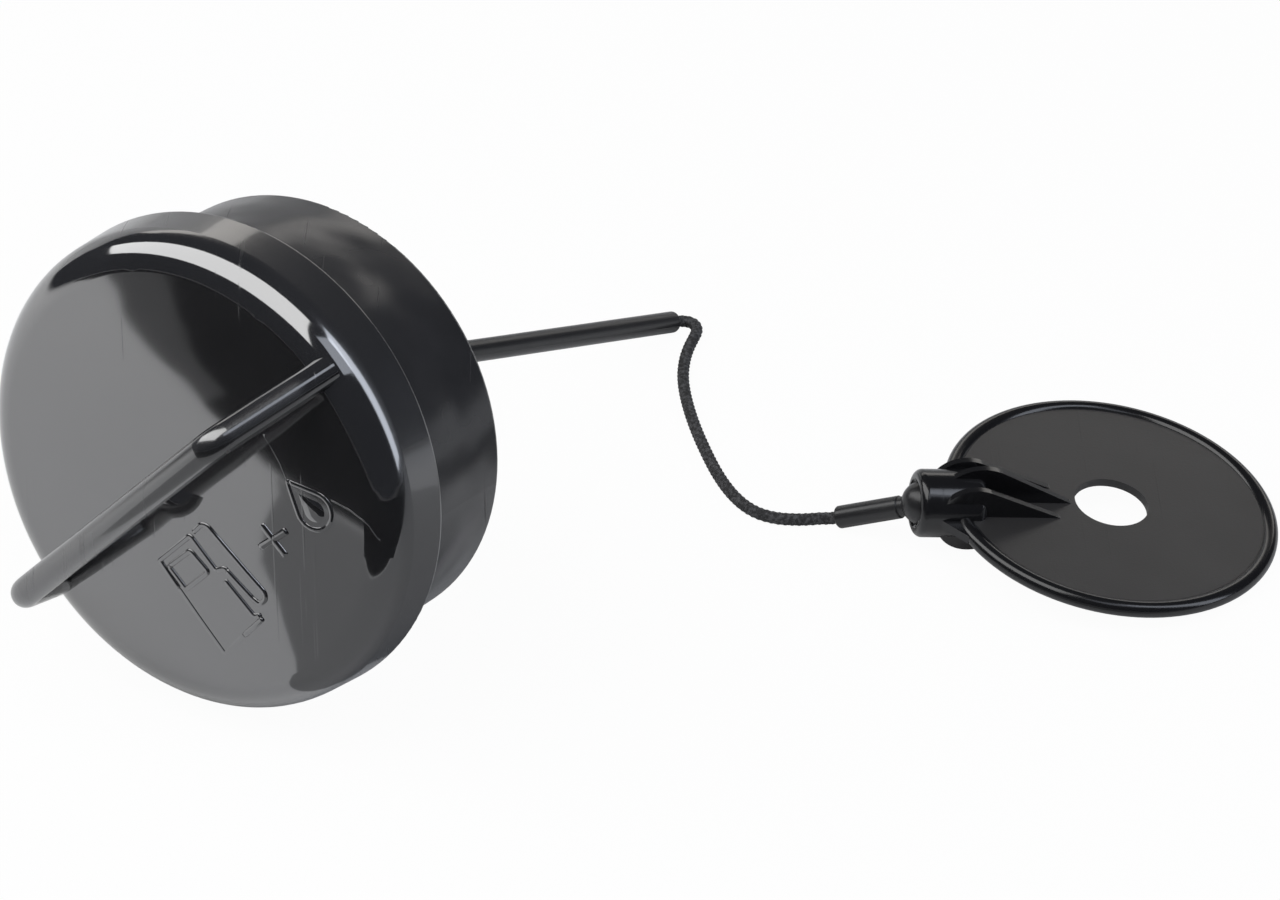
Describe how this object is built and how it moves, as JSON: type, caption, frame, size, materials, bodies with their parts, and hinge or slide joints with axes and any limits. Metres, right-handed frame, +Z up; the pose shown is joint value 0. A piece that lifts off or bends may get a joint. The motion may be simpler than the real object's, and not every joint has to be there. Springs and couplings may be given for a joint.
{
  "type": "fuel filler cap with tether",
  "caption": "Bayonet fuel filler cap with a bail handle and vent valve, and a corded tether that ends in a beaded retaining disc",
  "frame": {"origin": "On the table that the part lies on, at the middle of its footprint, the free cord left out", "axes": "X runs from the cap to the retaining disc, along the longest side; Z is up from the table; Y completes the right-handed set and points away from the cap's dome"},
  "size_m": [0.183, 0.1115, 0.0695],
  "materials": {
    "gloss_black": "polished moulded plastic",
    "black": "moulded plastic",
    "rubber_black": "matt rubber",
    "natural": "unfilled acetal",
    "spring_steel": "drawn wire",
    "satin_black": "satin moulded plastic",
    "satin_grey": "satin moulded plastic",
    "cord": "braided"
  },
  "bodies": {
    "cap": {"outer_shell": "gloss_black", "skirt_ring": "black", "bayonet_plug": "black", "sealing_ring": "rubber_black", "relief_spring": "spring_steel", "valve_cover": "natural", "end_cover": "black"},
    "relief": {"relief_plate": "natural", "relief_seal": "rubber_black", "vacuum_valve": "rubber_black"},
    "tether": {"tether_cord": "cord", "cord_end_inner": "cord", "cord_end_outer": "cord"},
    "tube": {"tether_tube": "satin_black"},
    "sleeve": {"ball_sleeve": "satin_black"},
    "disc": {"retaining_disc": "satin_grey"}
  },
  "joints": [
    {"name": "relief_lift", "type": "slide", "parent": "cap", "child": "relief", "axis": [-0.5243, -0.8325, 0.1789], "range_m": [0, 0.0012], "stiffness_N_per_m": 300, "springref_m": -0.01, "deforming": ["relief_spring"]},
    {"name": "tether_swing", "type": "hinge", "parent": "cap", "child": "tether", "pos_m": [-0.03785, 0.00493, 0.02746], "axis": [0.769, -0.6393, 0], "range_deg": [-30, 55]},
    {"name": "tube_spin", "type": "hinge", "parent": "tether", "child": "tube", "pos_m": [-0.03785, 0.00493, 0.02746], "axis": [0.592, 0.7121, -0.3773], "continuous": true},
    {"name": "sleeve_spin", "type": "hinge", "parent": "tether", "child": "sleeve", "pos_m": [0.03891, -0.00261, 0.00781], "axis": [-0.8332, 0.34, -0.436], "continuous": true},
    {"name": "disc_tilt", "type": "hinge", "parent": "sleeve", "child": "disc", "pos_m": [0.03891, -0.00261, 0.00781], "axis": [0.1392, -0.9903, 0], "range_deg": [-1, 70]}
  ]
}
